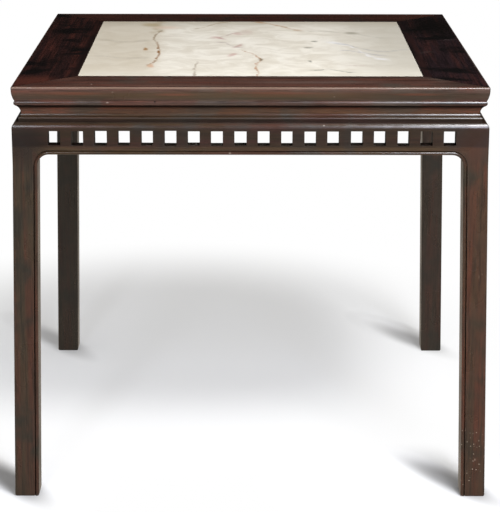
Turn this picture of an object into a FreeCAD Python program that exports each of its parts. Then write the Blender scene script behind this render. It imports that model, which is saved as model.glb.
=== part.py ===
"""A square waisted table for eight people, with a marble panel in a mitred hardwood frame.

Millimetres. +Z is up, the front faces -Y, and the origin is on the floor below the
middle of the top. Every side is alike, so one side or one corner is modelled and turned
or mirrored into its other places.
"""
import FreeCAD, Part
import math
import os

os.makedirs("parts", exist_ok=True)

V = FreeCAD.Vector

# ------------------------------------------------------------------ driving dimensions
# Whole table
table_height = 865.0
top_side = 950.0             # the square top, outside to outside

# Top frame: four mitred rails round the marble
rail_width = 122.0           # outside edge to the marble
arris_radius = 2.5           # worn upper edge
fascia_depth = 26.0          # top face down to the foot of the swept fascia
fascia_radius = 62.0         # sweep of the fascia
edge_quirk_height = 3.0      # undercut between the fascia and the bead below it
edge_quirk_depth = 1.8
edge_bead_height = 8.5
edge_bead_bulge = 2.0
edge_corner_radius = 3.0     # plan rounding where two rails meet
marble_thickness = 18.0
marble_ledge = 10.0          # width of the rebate that the marble lies on
marble_gap = 0.4             # between the marble and the rails, all round
marble_arris = 0.8

# Waist: a recessed board, nearly all cove
waist_height = 19.0
waist_setback = 17.0         # outside of the top to the waist's flat foot
waist_cove_depth = 9.6       # how far the waist's head stands out over its foot
waist_foot_height = 2.5      # flat below the cove
waist_head_land = 1.0        # square edge above the cove
waist_tongue_width = 5.0
waist_tongue_height = 5.0

# Base moulding: two rolls below the waist
upper_roll_height = 6.5
upper_roll_setback = 15.3
lower_roll_height = 5.5
lower_roll_setback = 11.5
moulding_foot_height = 3.5
moulding_foot_setback = 12.6
roll_shoulder = 0.7          # how far each roll falls back at its lower edge

# Aprons
apron_setback = -0.6         # outside of the top to the aprons' and legs' faces, which stand proud
apron_height = 65.0
apron_thickness = 28.0
shoulder_height = 13.0       # upper edge of the apron: a round, then a cant at 45 degrees
shoulder_radius = 16.0
hole_width = 23.7
hole_pitch = 46.4
band_above_holes = 16.5
band_below_holes = 19.1
hole_end_margin = 15.0       # least wood between the end hole and the leg's inner line

# Legs
leg_width = 50.0
leg_splay = 15.0             # how far each outer face stands out at the floor
leg_corner_radius = 3.0
leg_inner_radius = 2.0
foot_ease_height = 3.0
foot_ease = 1.5
spandrel_radius = 22.5       # curve where the leg's inner edge turns into the apron

# Bead that runs up each leg, round the spandrel and along the apron's lower edge
bead_width = 7.0
bead_proud = 0.8
quirk_width = 1.6

# Joinery
mitre_land = 4.0             # between the apron's rounded shoulder and the leg's mitre
corner_tenon_cheek = 13.0    # wood on each side of the frame's corner tenon
corner_tenon_thickness = 12.0
corner_tenon_stop = 22.0     # wood left outside the end of the tenon
post_tenon_margin = 1.5
long_tenon_height = 22.0
short_tenon_height = 14.0
key_cheek = 4.5              # wood beside the dovetail key on the leg's post
key_flare = 2.0
key_depth = 9.0
brace_width = 45.0
brace_height = 24.0
brace_count = 3
brace_spacing = 176.0
brace_shoulder = 7.0         # each side of the brace's tenon
brace_tenon_cheek = 4.0      # above and below the brace's tenon
brace_tenon_length = 28.0
joint_gap = 0.1              # each side of a tenon, key, tongue or peg
joint_end_gap = 0.6          # beyond the end of a tenon or tongue
overrun = 1.0                # how far a cut is carried past the wood that it leaves
frame_peg_diameter = 7.0
frame_peg_spacing = 22.0
frame_peg_cover = 8.0        # wood left above the peg
brace_peg_diameter = 5.0
moulding_peg_diameter = 5.0
moulding_peg_bite = 9.0      # into the apron below and the waist above
moulding_pegs_per_side = 4
moulding_peg_end = 110.0     # outside of the top to the end pegs

# -------------------------------------------------------------------- derived values
half_top = top_side / 2
top_thickness = fascia_depth + edge_quirk_height + edge_bead_height
moulding_height = upper_roll_height + lower_roll_height + moulding_foot_height

z_top = table_height
z_ledge = z_top - marble_thickness
z_frame_under = z_top - top_thickness
z_waist_under = z_frame_under - waist_height
z_apron_top = z_waist_under - moulding_height
z_apron_under = z_apron_top - apron_height
z_spring = z_apron_under - spandrel_radius

board_back = apron_setback + apron_thickness    # one plane behind apron, moulding and waist
leg_inner = apron_setback + leg_width
leg_half = half_top - apron_setback
opening_half = half_top - leg_inner
half_widest = max(half_top, leg_half)
post_side = leg_inner - board_back
mitre_rise = apron_height - shoulder_height - mitre_land
bead_radius = bead_width / 2
quirk_depth = bead_radius - bead_proud
moulding_peg_setback = (waist_setback + board_back) / 2


# ---------------------------------------------------------------------------- helpers
def line(a, b):
    return Part.LineSegment(a, b).toShape()


def arc(a, middle, b):
    return Part.Arc(a, middle, b).toShape()


def side_point(setback, z):
    """A point of the front side's section: its distance in from the top's edge, its height."""
    return V(0, -half_top + setback, z)


def outline(points):
    """Straight edges through the points in turn."""
    return [line(a, b) for a, b in zip(points, points[1:])]


def mitred(edges):
    """Draws a section out along the front side and cuts its ends at 45 degrees in plan."""
    face = Part.Face(Part.Wire(Part.__sortEdges__(edges)))
    reach = half_widest + overrun
    face.translate(V(-reach, 0, 0))
    bar = face.extrude(V(2 * reach, 0, 0))
    plan = [V(0, 0, 0), V(-reach, -reach, 0), V(reach, -reach, 0), V(0, 0, 0)]
    return bar.common(Part.Face(Part.makePolygon(plan)).extrude(V(0, 0, z_top + overrun)))


def block(low, high):
    return Part.makeBox(high[0] - low[0], high[1] - low[1], high[2] - low[2], V(*low))


def peg(diameter, foot, height):
    return Part.makeCylinder(diameter / 2, height, V(*foot))


def turned(shape, quarters):
    """The front side's shape turned to the right, back or left side."""
    copy = shape.copy()
    copy.rotate(V(0, 0, 0), V(0, 0, 1), 90 * quarters)
    return copy


def flipped(shape, right, back):
    """The front left corner's shape mirrored to another corner."""
    if right:
        shape = shape.mirror(V(0, 0, 0), V(1, 0, 0))
    if back:
        shape = shape.mirror(V(0, 0, 0), V(0, 1, 0))
    return shape


def swapped(shape):
    """The front face's feature of the front left corner, carried to that corner's side face."""
    return shape.mirror(V(0, 0, 0), V(1, -1, 0))


CORNERS = {"front_left": (False, False), "front_right": (True, False),
           "back_left": (False, True), "back_right": (True, True)}
SIDES = {"front": 0, "right": 1, "back": 2, "left": 3}


def at_corners(shape):
    return [flipped(shape, right, back) for right, back in CORNERS.values()]


def at_sides(shape):
    return [turned(shape, quarters) for quarters in SIDES.values()]


def plan_corner_round(face_half, radius, z_low, z_high):
    """What comes off a vertical outer corner of that half width to round it."""
    edge = -face_half
    corner = block((edge - overrun, edge - overrun, z_low), (edge + radius, edge + radius, z_high))
    rounding = Part.makeCylinder(radius, z_high - z_low, V(edge + radius, edge + radius, z_low))
    return corner.cut(rounding)


def save(name, shape):
    shape.exportStep("parts/" + name + ".step")


# --------------------------------------------------------------------- the top frame
def rail_section():
    fall = fascia_depth - arris_radius
    fascia_setback = fascia_radius - math.sqrt(fascia_radius ** 2 - fall ** 2)
    half_setback = fascia_radius - math.sqrt(fascia_radius ** 2 - (fall / 2) ** 2)
    arris_in = arris_radius * (1 - math.sqrt(0.5))
    bead_setback = fascia_setback + edge_quirk_depth
    z_fascia = z_top - fascia_depth
    z_bead = z_fascia - edge_quirk_height
    arris_end = side_point(0, z_top - arris_radius)
    fascia_end = side_point(fascia_setback, z_fascia)
    bead_top = side_point(bead_setback, z_bead)
    bead_foot = side_point(bead_setback, z_frame_under)
    rounds = [
        arc(side_point(arris_radius, z_top), side_point(arris_in, z_top - arris_in), arris_end),
        arc(arris_end, side_point(half_setback, z_top - arris_radius - fall / 2), fascia_end),
        line(fascia_end, bead_top),
        arc(bead_top,
            side_point(bead_setback - edge_bead_bulge, z_bead - edge_bead_height / 2), bead_foot),
    ]
    return rounds + outline([
        bead_foot,
        side_point(rail_width + marble_ledge, z_frame_under),
        side_point(rail_width + marble_ledge, z_ledge),
        side_point(rail_width, z_ledge),
        side_point(rail_width, z_top),
        side_point(arris_radius, z_top),
    ])


def corner_tenon(gap, end_gap):
    """The frame's tenon at the front left corner, from the front rail into the left one."""
    middle = z_frame_under + top_thickness / 2
    reach_y = rail_width - corner_tenon_cheek
    low = (-half_top + corner_tenon_stop - end_gap,
           -half_top + leg_inner + corner_tenon_cheek - gap,
           middle - corner_tenon_thickness / 2 - gap)
    high = (-half_top + reach_y + gap, -half_top + reach_y + gap,
            middle + corner_tenon_thickness / 2 + gap)
    return block(low, high)


def frame_pegs(gap):
    """The two pegs of the front left corner, up through the left rail and the tenon in it."""
    x = -half_top + (corner_tenon_stop + leg_inner + corner_tenon_cheek) / 2
    y = -half_top + (leg_inner + rail_width) / 2
    height = top_thickness - frame_peg_cover + gap
    return [peg(frame_peg_diameter + 2 * gap, (x, y + offset, z_frame_under), height)
            for offset in (-frame_peg_spacing / 2, frame_peg_spacing / 2)]


def post_tenon(gap, end_gap, height):
    """A tenon on the head of the front left leg, on the front rail's side of the mitre."""
    side = (post_side - 3 * post_tenon_margin) / 2
    u = -half_top + leg_inner - post_tenon_margin - side
    v = -half_top + board_back + post_tenon_margin
    return block((u - gap, v - gap, z_frame_under - gap),
                 (u + side + gap, v + side + gap, z_frame_under + height + end_gap))


def waist_tongue(gap, end_gap):
    middle = (waist_setback + board_back) / 2
    outer = middle - waist_tongue_width / 2 - gap
    inner = middle + waist_tongue_width / 2 + gap
    z_high = z_frame_under + waist_tongue_height + end_gap
    return outline([side_point(outer, z_frame_under - gap), side_point(inner, z_frame_under - gap),
                    side_point(inner, z_high), side_point(outer, z_high),
                    side_point(outer, z_frame_under - gap)])


def brace_middles():
    return [(n - (brace_count - 1) / 2) * brace_spacing for n in range(brace_count)]


def brace_tenon(x, gap, end_gap):
    """One brace's tenon in the front rail."""
    half = brace_width / 2 - brace_shoulder + gap
    y_shoulder = -half_top + rail_width + marble_ledge
    return block((x - half, y_shoulder - brace_tenon_length - end_gap,
                  z_frame_under + brace_tenon_cheek - gap),
                 (x + half, y_shoulder, z_ledge - brace_tenon_cheek + gap))


def brace_pegs(gap):
    """Pegs from below through the brace tenons in the front rail."""
    y = -half_top + rail_width + marble_ledge - brace_tenon_length / 2
    height = z_ledge - z_frame_under
    return [peg(brace_peg_diameter + 2 * gap, (x, y, z_frame_under), height)
            for x in brace_middles()]


def make_rails():
    plain = mitred(rail_section())
    tenon = corner_tenon(0, 0)
    tenoned = plain.fuse([tenon, flipped(tenon, True, False)])
    mortises = at_corners(corner_tenon(joint_gap, joint_end_gap))
    mortised = turned(plain, SIDES["left"]).cut(mortises)
    housings = at_sides(mitred(waist_tongue(joint_gap, joint_end_gap)))
    housings += at_corners(post_tenon(joint_gap, joint_end_gap, long_tenon_height))
    housings += at_corners(swapped(post_tenon(joint_gap, joint_end_gap, short_tenon_height)))
    housings += at_corners(plan_corner_round(half_top, edge_corner_radius, 0, z_top + overrun))
    for hole in frame_pegs(joint_gap):
        housings += at_corners(hole)
    for hole in brace_pegs(joint_gap):
        housings += [hole, turned(hole, 2)]
    for x in brace_middles():
        mortise = brace_tenon(x, joint_gap, joint_end_gap)
        housings += [mortise, turned(mortise, 2)]
    blanks = {"front": tenoned, "back": turned(tenoned, 2),
              "left": mortised, "right": turned(mortised, 2)}
    for name, blank in blanks.items():
        save("top_rail_" + name, blank.cut(housings).removeSplitter())


def make_marble():
    half = half_top - rail_width - marble_gap
    slab = block((-half, -half, z_ledge), (half, half, z_top))
    upper = [edge for edge in slab.Edges
             if all(abs(vertex.Point.z - z_top) < 0.001 for vertex in edge.Vertexes)]
    save("marble_panel", slab.makeChamfer(marble_arris, upper))


def make_braces():
    shoulder = half_top - rail_width - marble_ledge
    pegs = []
    for hole in brace_pegs(joint_gap):
        pegs += [hole, turned(hole, 2)]
    for n, x in enumerate(brace_middles()):
        bar = block((x - brace_width / 2, -shoulder, z_ledge - brace_height),
                    (x + brace_width / 2, shoulder, z_ledge))
        tenons = [brace_tenon(x, 0, 0), turned(brace_tenon(-x, 0, 0), 2)]
        brace = bar.fuse(tenons).removeSplitter().cut(pegs)
        save("cross_brace_%d" % (n + 1), brace)


# ---------------------------------------------------------- the waist and its moulding
def waist_section():
    z_cove_foot = z_waist_under + waist_foot_height
    rise = z_frame_under - waist_head_land - z_cove_foot
    radius = (rise ** 2 + waist_cove_depth ** 2) / (2 * waist_cove_depth)
    sweep = 2 * math.atan(waist_cove_depth / rise)

    def on_cove(angle):
        return side_point(waist_setback - radius * (1 - math.cos(angle)),
                          z_cove_foot + radius * math.sin(angle))

    head, foot = on_cove(sweep), on_cove(0)
    return [arc(head, on_cove(sweep / 2), foot)] + outline([
        foot, side_point(waist_setback, z_waist_under), side_point(board_back, z_waist_under),
        side_point(board_back, z_frame_under),
        side_point(waist_setback - waist_cove_depth, z_frame_under), head])


def moulding_section():
    z_lower_roll = z_waist_under - upper_roll_height
    z_foot = z_lower_roll - lower_roll_height
    upper_end = side_point(upper_roll_setback + roll_shoulder, z_lower_roll)
    lower_start = side_point(lower_roll_setback + 2 * roll_shoulder, z_lower_roll)
    lower_end = side_point(lower_roll_setback + roll_shoulder, z_foot)
    upper_start = side_point(upper_roll_setback + 2 * roll_shoulder, z_waist_under)
    rolls = [
        arc(upper_start, side_point(upper_roll_setback, z_waist_under - upper_roll_height / 2),
            upper_end),
        line(upper_end, lower_start),
        arc(lower_start, side_point(lower_roll_setback, z_lower_roll - lower_roll_height / 2),
            lower_end),
    ]
    return rolls + outline([
        lower_end, side_point(moulding_foot_setback, z_foot),
        side_point(moulding_foot_setback, z_apron_top), side_point(board_back, z_apron_top),
        side_point(board_back, z_waist_under), upper_start])


def moulding_pegs(gap):
    """The pegs of the front side, through the moulding into the apron and the waist."""
    span = top_side - 2 * moulding_peg_end
    foot = z_apron_top - moulding_peg_bite - gap
    height = moulding_height + 2 * moulding_peg_bite + 2 * gap
    return [peg(moulding_peg_diameter + 2 * gap,
                (-span / 2 + span * n / (moulding_pegs_per_side - 1),
                 -half_top + moulding_peg_setback, foot), height)
            for n in range(moulding_pegs_per_side)]


def make_waist_and_moulding():
    holes = moulding_pegs(joint_gap)
    waist = mitred(waist_section()).fuse(mitred(waist_tongue(0, 0))).removeSplitter().cut(holes)
    moulding = mitred(moulding_section()).cut(holes)
    for name, quarters in SIDES.items():
        save("waist_" + name, turned(waist, quarters))
        save("base_moulding_" + name, turned(moulding, quarters))


# --------------------------------------------------------------- the aprons and the legs
def opening_prism(grow, depth_low, depth_high):
    """The front side's opening, grown outwards all round, between two depths in from its face."""
    half = opening_half + grow
    radius = spandrel_radius + grow
    z_head = z_apron_under + grow
    y = -leg_half + depth_low
    inset = radius * (1 - math.sqrt(0.5))
    left = arc(V(-half, y, z_head - radius), V(-half + inset, y, z_head - inset),
               V(-half + radius, y, z_head))
    right = arc(V(half, y, z_head - radius), V(half - inset, y, z_head - inset),
                V(half - radius, y, z_head))
    edges = [left, line(V(-half + radius, y, z_head), V(half - radius, y, z_head)), right]
    edges += outline([V(half, y, z_head - radius), V(half, y, -overrun),
                      V(-half, y, -overrun), V(-half, y, z_head - radius)])
    face = Part.Face(Part.Wire(Part.__sortEdges__(edges)))
    return face.extrude(V(0, depth_high - depth_low, 0))


def front_bead():
    """The half-round bead along the head of the front opening and round its two corners."""
    y = -leg_half + quirk_depth
    x = -opening_half - bead_radius
    flat = line(V(x - bead_radius, y, z_spring), V(x + bead_radius, y, z_spring))
    crown = arc(V(x - bead_radius, y, z_spring), V(x, y - bead_radius, z_spring),
                V(x + bead_radius, y, z_spring))
    section = Part.Face(Part.Wire([flat, crown]))
    pivot = V(-opening_half + spandrel_radius, y, z_spring)
    corner = section.revolve(pivot, V(0, 1, 0), 90)
    upright = section.copy()
    upright.rotate(pivot, V(0, 1, 0), 90)
    straight = upright.extrude(V(2 * (opening_half - spandrel_radius), 0, 0))
    return straight.fuse([corner, corner.mirror(V(0, 0, 0), V(1, 0, 0))]).removeSplitter()


def quirk_channel():
    return opening_prism(bead_width + quirk_width, -bead_width, quirk_depth)


def mitre_prism(upper, depth):
    """All that lies above or below the front left mitre of leg and apron, to that depth."""
    inner = V(-opening_half + leg_width, 0, z_apron_under - mitre_rise)
    outer = V(-leg_half - leg_width, 0, z_apron_under + 2 * mitre_rise)
    z_end = z_top + overrun if upper else -overrun
    loop = [inner, outer, V(outer.x, 0, z_end), V(inner.x, 0, z_end), inner]
    face = Part.Face(Part.makePolygon(loop))
    face.translate(V(0, -leg_half - bead_width, 0))
    return face.extrude(V(0, depth + bead_width, 0))


def dovetail_key(gap):
    """The upright key on the front face of the front left leg's post."""
    middle = -half_top + (board_back + leg_inner) / 2
    tip_half = post_side / 2 - key_cheek + gap
    root_half = tip_half - key_flare
    y_root = -half_top + board_back
    y_tip = y_root - key_depth - gap
    loop = [V(middle - root_half, y_root, 0), V(middle - tip_half, y_tip, 0),
            V(middle + tip_half, y_tip, 0), V(middle + root_half, y_root, 0),
            V(middle - root_half, y_root, 0)]
    face = Part.Face(Part.makePolygon(loop))
    face.translate(V(0, 0, z_apron_under - gap))
    return face.extrude(V(0, 0, apron_height + 2 * gap))


def apron_section():
    radius = min(shoulder_radius, 0.9 * shoulder_height * math.sqrt(2))
    z_cheek = z_apron_top - shoulder_height

    def on_round(angle):
        return side_point(apron_setback + radius * (1 - math.cos(angle)),
                          z_cheek + radius * math.sin(angle))

    cheek, cant_foot = on_round(0), on_round(math.pi / 4)
    cant = z_apron_top - cant_foot.z
    crown = V(0, cant_foot.y + cant, z_apron_top)
    return [arc(cheek, on_round(math.pi / 8), cant_foot)] + outline([
        cant_foot, crown, side_point(board_back, z_apron_top), side_point(board_back, z_spring),
        side_point(apron_setback, z_spring), cheek])


def hole_middles():
    room = 2 * (opening_half - hole_end_margin) - hole_width
    count = int(room / hole_pitch) + 1
    return [(n - (count - 1) / 2) * hole_pitch for n in range(count)]


def make_aprons():
    apron = mitred(apron_section())
    apron = apron.cut([opening_prism(0, -overrun, apron_thickness + overrun), quirk_channel()])
    apron = apron.fuse(front_bead())
    leg_share = mitre_prism(False, apron_thickness + overrun)
    slot = dovetail_key(joint_gap)
    ends = [leg_share, slot, plan_corner_round(leg_half, leg_corner_radius, 0, z_apron_top + overrun)]
    ends += [flipped(tool, True, False) for tool in ends]
    holes = [block((x - hole_width / 2, -leg_half - overrun, z_apron_under + band_below_holes),
                   (x + hole_width / 2, -half_top + board_back + overrun,
                    z_apron_top - band_above_holes)) for x in hole_middles()]
    apron = apron.cut(ends + holes + moulding_pegs(joint_gap)).removeSplitter()
    for name, quarters in SIDES.items():
        save("apron_" + name, turned(apron, quarters))


def leg_section(z, outward, ease):
    """The leg's section at a height, stood out by the splay there and eased in at the foot."""
    scale = (leg_width - 2 * ease) / leg_width
    corner = -leg_half - outward + ease

    def at(u, v):
        return V(corner + scale * u, corner + scale * v, z)

    round_in = leg_corner_radius * (1 - math.sqrt(0.5))
    inner_in = leg_inner_radius * (1 - math.sqrt(0.5))
    quirk = leg_width - bead_width - quirk_width
    bead = leg_width - bead_width
    turn = leg_width - leg_inner_radius
    front = [
        line(at(leg_corner_radius, 0), at(quirk, 0)),
        line(at(quirk, 0), at(quirk, quirk_depth)),
        line(at(quirk, quirk_depth), at(bead, quirk_depth)),
        arc(at(bead, quirk_depth), at(bead + bead_radius, -bead_proud),
            at(leg_width, quirk_depth)),
        line(at(leg_width, quirk_depth), at(leg_width, turn)),
    ]
    inner = arc(at(leg_width, turn), at(leg_width - inner_in, leg_width - inner_in),
                at(turn, leg_width))
    side = [
        line(at(turn, leg_width), at(quirk_depth, leg_width)),
        arc(at(quirk_depth, leg_width), at(-bead_proud, bead + bead_radius),
            at(quirk_depth, bead)),
        line(at(quirk_depth, bead), at(quirk_depth, quirk)),
        line(at(quirk_depth, quirk), at(0, quirk)),
        line(at(0, quirk), at(0, leg_corner_radius)),
    ]
    outer = arc(at(0, leg_corner_radius), at(round_in, round_in), at(leg_corner_radius, 0))
    return Part.Wire(front + [inner] + side + [outer])


def leg_shaft():
    """The splayed shaft, from the floor to where the spandrels spring."""
    ease_outward = leg_splay * (1 - foot_ease_height / z_spring)
    upper = Part.makeLoft([leg_section(foot_ease_height, ease_outward, 0),
                           leg_section(z_spring, 0, 0)], True, True)
    foot = Part.makeLoft([leg_section(0, leg_splay, foot_ease),
                          leg_section(foot_ease_height, ease_outward, 0)], True, True)
    return upper.fuse(foot)


def leg_head():
    """The leg above the spring: its mitred cheeks, spandrels, post, keys and tenons."""
    low, high = -leg_half, -opening_half
    head = block((low, low, z_spring), (high, high, z_frame_under))
    spandrel = block((high, low, z_spring),
                     (high + spandrel_radius, low + apron_thickness, z_apron_under))
    spandrel = spandrel.cut(opening_prism(0, -overrun, apron_thickness + overrun))
    bead = front_bead().common(block((low, low - bead_width, z_spring),
                                     (high + spandrel_radius, high, z_apron_top)))
    channel = quirk_channel()
    head = head.fuse([spandrel, swapped(spandrel)])
    head = head.cut([channel, swapped(channel),
                     plan_corner_round(leg_half, leg_corner_radius, 0, z_top)])
    inner_edge = block((high - leg_inner_radius, high - leg_inner_radius, z_spring),
                       (high, high, z_frame_under))
    inner_edge = inner_edge.cut(Part.makeCylinder(
        leg_inner_radius, z_frame_under - z_spring,
        V(high - leg_inner_radius, high - leg_inner_radius, z_spring)))
    head = head.cut(inner_edge).fuse([bead, swapped(bead)])
    share = mitre_prism(True, apron_thickness)
    head = head.cut([share, swapped(share)])
    key = dovetail_key(0)
    tenons = [post_tenon(0, 0, long_tenon_height), swapped(post_tenon(0, 0, short_tenon_height))]
    return head.fuse([key, swapped(key)] + tenons)


def make_legs():
    leg = leg_shaft().fuse(leg_head()).removeSplitter()
    for name, (right, back) in CORNERS.items():
        save("leg_" + name, flipped(leg, right, back))


# ------------------------------------------------------------------------------- pegs
def make_pegs():
    corner_pegs = []
    for one in frame_pegs(0):
        corner_pegs += at_corners(one)
    save("frame_pegs", Part.makeCompound(corner_pegs))
    through_braces = []
    for one in brace_pegs(0):
        through_braces += [one, turned(one, 2)]
    save("brace_pegs", Part.makeCompound(through_braces))
    along_sides = []
    for one in moulding_pegs(0):
        along_sides += at_sides(one)
    save("moulding_pegs", Part.makeCompound(along_sides))


make_rails()
make_marble()
make_braces()
make_waist_and_moulding()
make_aprons()
make_legs()
make_pegs()
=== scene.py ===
# %% [markdown]
# # A square eight immortals table in waxed rosewood, with a marble panel
#
# Eight people sit at such a table, two to a side. Four mitred rails hold a slab of marble, a narrow
# waist and a two-roll moulding carry them, and four legs stand out a little towards the floor. An
# apron joins each pair of legs, and eighteen square holes are cut through it by hand. The joinery is
# finished already: it comes in as a fixed frame of named pieces. These cells give that frame its
# looks: hand-softened edges, figured wood, veined stone, light and a camera.

import math
import random

import bmesh
import bpy
from mathutils import Matrix, Vector


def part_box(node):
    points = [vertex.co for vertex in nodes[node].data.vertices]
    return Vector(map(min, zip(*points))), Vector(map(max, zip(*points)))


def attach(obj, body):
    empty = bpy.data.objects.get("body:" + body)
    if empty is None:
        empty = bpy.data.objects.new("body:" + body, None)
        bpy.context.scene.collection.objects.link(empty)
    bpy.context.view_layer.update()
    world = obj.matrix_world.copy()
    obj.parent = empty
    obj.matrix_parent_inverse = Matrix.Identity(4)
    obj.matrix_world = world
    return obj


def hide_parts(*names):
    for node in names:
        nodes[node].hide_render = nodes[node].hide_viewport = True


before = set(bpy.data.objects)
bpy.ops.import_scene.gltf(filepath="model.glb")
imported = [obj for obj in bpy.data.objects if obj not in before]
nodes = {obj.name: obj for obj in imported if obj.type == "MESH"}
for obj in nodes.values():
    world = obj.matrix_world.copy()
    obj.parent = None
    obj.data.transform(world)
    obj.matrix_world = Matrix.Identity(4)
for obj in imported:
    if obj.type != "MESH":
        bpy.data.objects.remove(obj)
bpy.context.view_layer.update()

# %% [markdown]
# ## Small helpers
#
# Colours are easiest to choose as the hex values that a screen shows, but a renderer works with
# linear light, so one function turns the first into the second. A second function adds one shader
# node with its settings and links: every material below is built with it. A soft oval serves for stains,
# spots and shade. Sizes of real things are written in millimetres, and Blender's unit is the metre.

# %% Helpers
MM = 0.001


def linear(hex_colour, alpha=1.0):
    """An sRGB hex colour such as "#47372c" as linear red, green, blue and alpha."""
    shown = [int(hex_colour[n:n + 2], 16) / 255 for n in (1, 3, 5)]
    return [c / 12.92 if c <= 0.04045 else ((c + 0.055) / 1.055) ** 2.4 for c in shown] + [alpha]


def add_node(tree, kind, inputs=None, **settings):
    """Adds a shader node. Each input takes a plain value, a socket, or another node's output."""
    node = tree.nodes.new("ShaderNode" + kind)
    for name, value in settings.items():
        setattr(node, name, value)
    for key, value in (inputs or {}).items():
        socket = node.inputs[key] if isinstance(key, int) else next(
            s for s in node.inputs if s.enabled and s.name == key)
        if isinstance(value, bpy.types.Node):
            value = next(s for s in value.outputs if s.enabled)
        if isinstance(value, bpy.types.NodeSocket):
            tree.links.new(value, socket)
        else:
            socket.default_value = value
    return node


def new_tree(name):
    """An empty node material and its tree."""
    material = bpy.data.materials.new(name)
    material.use_nodes = True
    material.node_tree.nodes.clear()
    return material, material.node_tree


SMOOTH = {"interpolation_type": "SMOOTHSTEP"}
COLOURS = {"data_type": "RGBA"}


def patch(tree, place, centre, size, turn=0.0, core=0.2):
    """A soft-edged oval: 1 in its middle, 0 outside. Its centre and size are in millimetres."""
    spot = add_node(tree, "Mapping", {
        "Vector": place, "Location": [c * MM for c in centre], "Scale": [s * MM for s in size],
        "Rotation": (0, 0, math.radians(turn))}, vector_type="TEXTURE")
    length = add_node(tree, "VectorMath", {0: spot}, operation="LENGTH").outputs["Value"]
    return add_node(tree, "MapRange", {"Value": length, "From Min": 1.0, "From Max": core}, **SMOOTH)


print("a mid brown in linear light:", [round(c, 3) for c in linear("#47372c")])

# %% [markdown]
# ## The camera
#
# A table is best seen from standing height, a few paces back, through a long lens, so that its front
# and back legs stay nearly the same size. A constraint could aim the camera, but turning it right
# down would make the legs lean. So it turns by about fifteen degrees, and a small downward shift of
# the lens does the rest, as in a view camera, which keeps the legs almost upright.

# %% Camera
camera_place = Vector((-0.006, -4.115, 1.572))
camera_down = math.radians(15.36)
camera_turn = math.radians(-0.084)
camera_lean = math.radians(0.10)
picture_long_side = 512
focal_pixels = 1870.7
sensor = 36.0
lens_shift = -0.05

camera_data = bpy.data.cameras.new("camera")
camera_data.sensor_width = sensor
camera_data.lens = focal_pixels / picture_long_side * sensor
camera_data.shift_y = lens_shift
camera = bpy.data.objects.new("camera", camera_data)
camera.matrix_world = (Matrix.Translation(camera_place) @ Matrix.Rotation(camera_turn, 4, "Z")
                       @ Matrix.Rotation(math.pi / 2 - camera_down, 4, "X")
                       @ Matrix.Rotation(camera_lean, 4, "Z"))
bpy.context.scene.collection.objects.link(camera)
bpy.context.scene.camera = camera
print("lens", round(camera_data.lens, 1), "mm")

# %% [markdown]
# ## Floor and surroundings
#
# The floor is a wide sheet of pale matt paper. A plain pale plane would show an edge against the white
# behind it. So the sheet takes shadows only in a few soft ovals, behind the table and beside its feet,
# and glows plain white elsewhere. Close round each foot its colour is painted a shade darker, along the
# shadow, because little light gets in there: a painted contact shadow. An oval on the floor has a
# height only because every oval has one. The surroundings are a white world, seen as white and weaker
# as a light.

# %% Floor
floor_side = 30000 * MM
floor_colour = linear("#f3f2f0")
plain_white = linear("#ffffff")
shadow_turn = 124
any_height = 1000
shaded = [
    ((-200, 530), (980, 980), 0, 0.75),
    ((-600, -430), (330, 260), 0, 0.95),
    ((330, -430), (330, 260), 0, 0.95),
    ((-570, 620), (330, 110), shadow_turn, 0.8),
    ((365, 620), (330, 110), shadow_turn, 0.8),
]
foot_middle = 468
foot_shade = linear("#9d9b99")
foot_shade_shift, foot_shade_size = (-38, 56), (230, 55)


def seen_or_mirrored(tree):
    """1 where the camera looks, also in a mirror or through glass, and 0 where light falls on things."""
    path = add_node(tree, "LightPath")
    mirrored = add_node(tree, "Math", {0: path.outputs["Is Glossy Ray"],
                                       1: path.outputs["Is Transmission Ray"]}, operation="MAXIMUM")
    return add_node(tree, "Math", {0: path.outputs["Is Camera Ray"], 1: mirrored}, operation="MAXIMUM")


bpy.ops.mesh.primitive_plane_add(size=floor_side)
floor = bpy.context.object
floor.name = "floor"
floor_finish, tree = new_tree("studio_floor_pale_matt")
white = add_node(tree, "Emission", {"Color": plain_white, "Strength": 1.0})
place = add_node(tree, "TexCoord").outputs["Object"]
tone = floor_colour
# A painted contact shadow: at each foot the floor's colour is darker, along the way its shadow falls.
for x in (-foot_middle, foot_middle):
    for y in (-foot_middle, foot_middle):
        centre = (x + foot_shade_shift[0], y + foot_shade_shift[1], 0)
        spot = patch(tree, place, centre, (*foot_shade_size, any_height), shadow_turn)
        tone = add_node(tree, "Mix", {"Factor": spot, "A": tone, "B": foot_shade}, **COLOURS)
matt = add_node(tree, "BsdfDiffuse", {"Color": tone})
plain = 1.0
for centre, size, turn, strength in shaded:
    oval = patch(tree, place, (*centre, 0), (*size, any_height), turn, core=0.4)
    outside = add_node(tree, "MapRange", {"Value": oval, "To Min": 1.0, "To Max": 1 - strength})
    plain = add_node(tree, "Math", {0: plain, 1: outside}, operation="MINIMUM")
fade = add_node(tree, "Math", {0: plain, 1: seen_or_mirrored(tree)}, operation="MULTIPLY")
shown = add_node(tree, "MixShader", {0: fade, 1: matt, 2: white})
add_node(tree, "OutputMaterial", {"Surface": shown})
floor.data.materials.append(floor_finish)
print("floor with", len(shaded), "ovals that take shadows")

# %% Surroundings
daylight = 0.56

world = bpy.data.worlds.new("studio")
bpy.context.scene.world = world
world.use_nodes = True
tree = world.node_tree
tree.nodes.clear()
strength = add_node(tree, "MapRange", {"Value": seen_or_mirrored(tree), "To Min": daylight,
                                       "To Max": 1.0})
glow = add_node(tree, "Background", {"Color": plain_white, "Strength": strength})
add_node(tree, "OutputWorld", {"Surface": glow})
print("white surroundings, as a light", daylight)
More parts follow.
